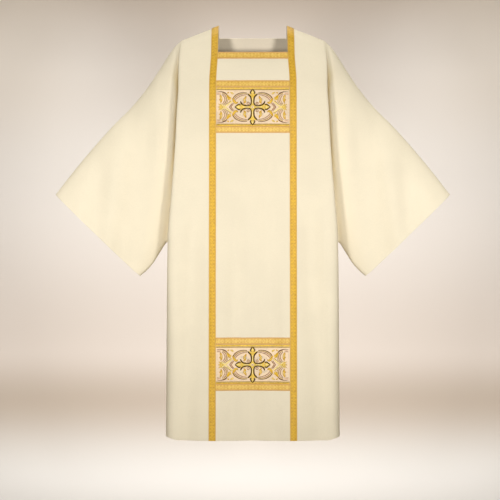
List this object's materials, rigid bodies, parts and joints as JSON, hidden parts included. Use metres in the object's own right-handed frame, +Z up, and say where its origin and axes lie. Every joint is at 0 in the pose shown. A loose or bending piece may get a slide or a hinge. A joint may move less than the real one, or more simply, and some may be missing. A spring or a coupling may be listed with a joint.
{
  "type": "dalmatic",
  "caption": "Deacon's wide-sleeved cream vestment with gold braid stripes, a square neck and ornamented cross bands, filled out hollow as worn.",
  "frame": {"origin": "midway between the neck ends of the two shoulder seams, at their height, where the wearer's shoulders carry the garment", "axes": "+Z up along the wearer's back, -Y out of the garment's front, +X towards the wearer's left hand, which is the right of a picture of the front"},
  "size_m": [1.1556, 0.2897, 1.2022],
  "materials": {
    "cream_cloth": "matt wool-blend cloth with a soft sheen",
    "gold_braid": "woven metallic-thread braid",
    "ornamented_band": "pale ground with gold and rose embroidery"
  },
  "bodies": {
    "root": {"front_panel": "cream_cloth", "back_panel": "cream_cloth", "sleeve_left": "cream_cloth", "sleeve_right": "cream_cloth", "neck_braid_front": "gold_braid", "neck_braid_back": "gold_braid", "stripe_left": "gold_braid", "stripe_right": "gold_braid", "chest_braid_upper": "gold_braid", "chest_braid_lower": "gold_braid", "lower_braid_upper": "gold_braid", "lower_braid_lower": "gold_braid", "chest_band": "ornamented_band", "lower_band": "ornamented_band"}
  },
  "joints": []
}
